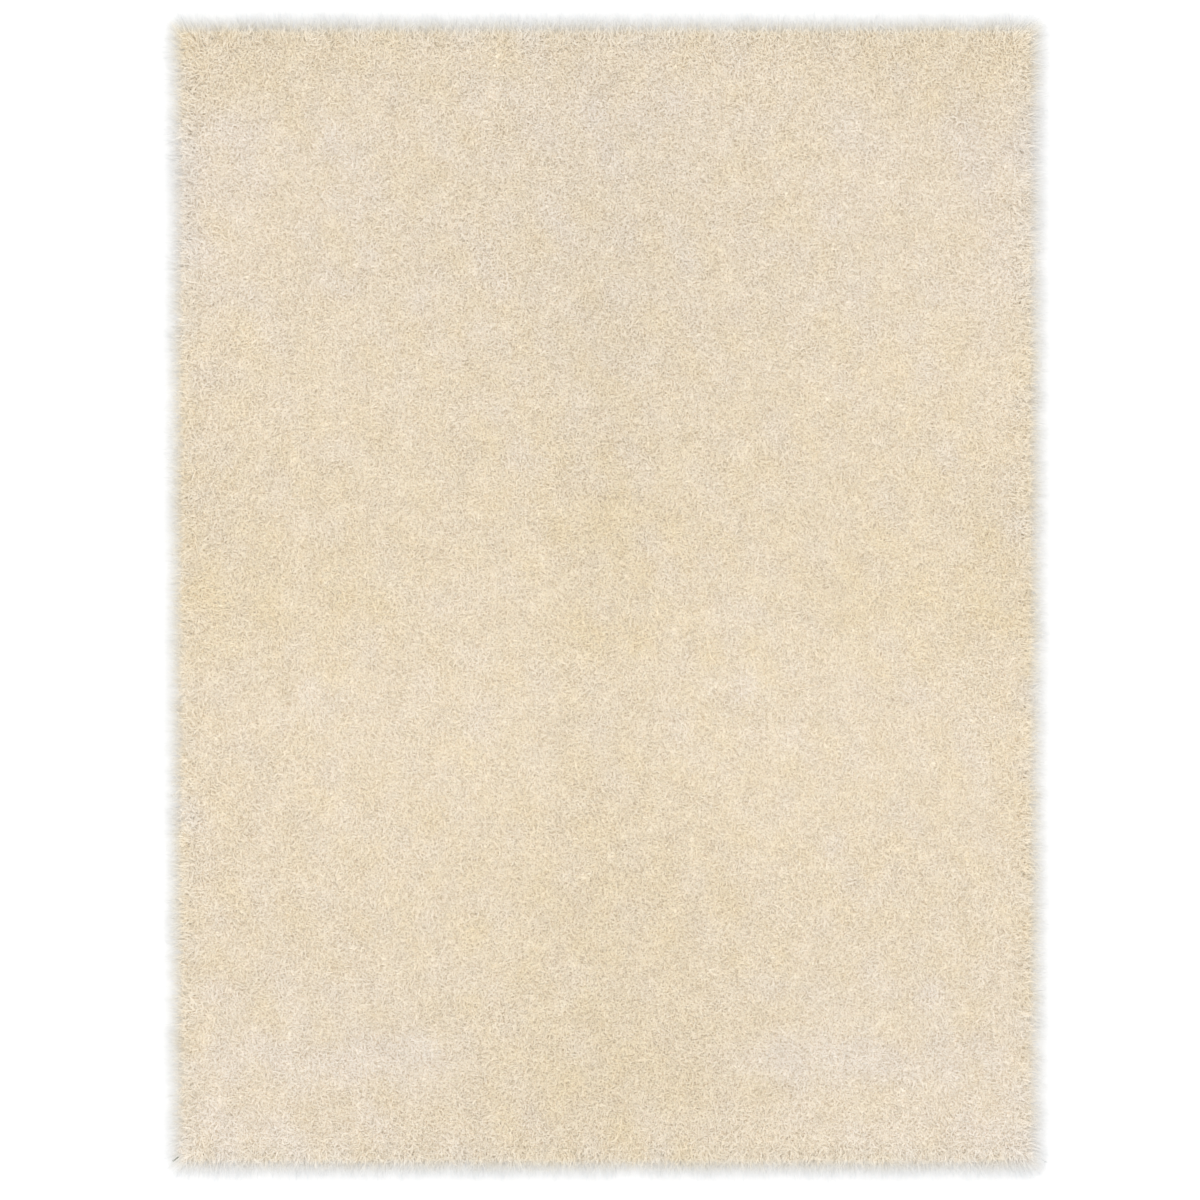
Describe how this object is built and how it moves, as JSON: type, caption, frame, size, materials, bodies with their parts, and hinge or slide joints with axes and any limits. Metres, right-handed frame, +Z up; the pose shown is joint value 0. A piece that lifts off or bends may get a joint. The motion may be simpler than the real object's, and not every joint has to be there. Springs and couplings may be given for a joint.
{
  "type": "shag rug",
  "caption": "Oblong floor rug with a deep lumpy cut pile, a rolled-over edge and locks of yarn standing out round the rim, flat underneath.",
  "frame": {"origin": "middle of the flat underside, on the floor", "axes": "+Z up out of the pile, +Y along the rug's length, +X across its width"},
  "size_m": [1.6357, 2.1569, 0.0399],
  "materials": {
    "pile": "soft matte cream cut pile"
  },
  "bodies": {
    "root": {"shag_rug": "pile"}
  },
  "joints": []
}
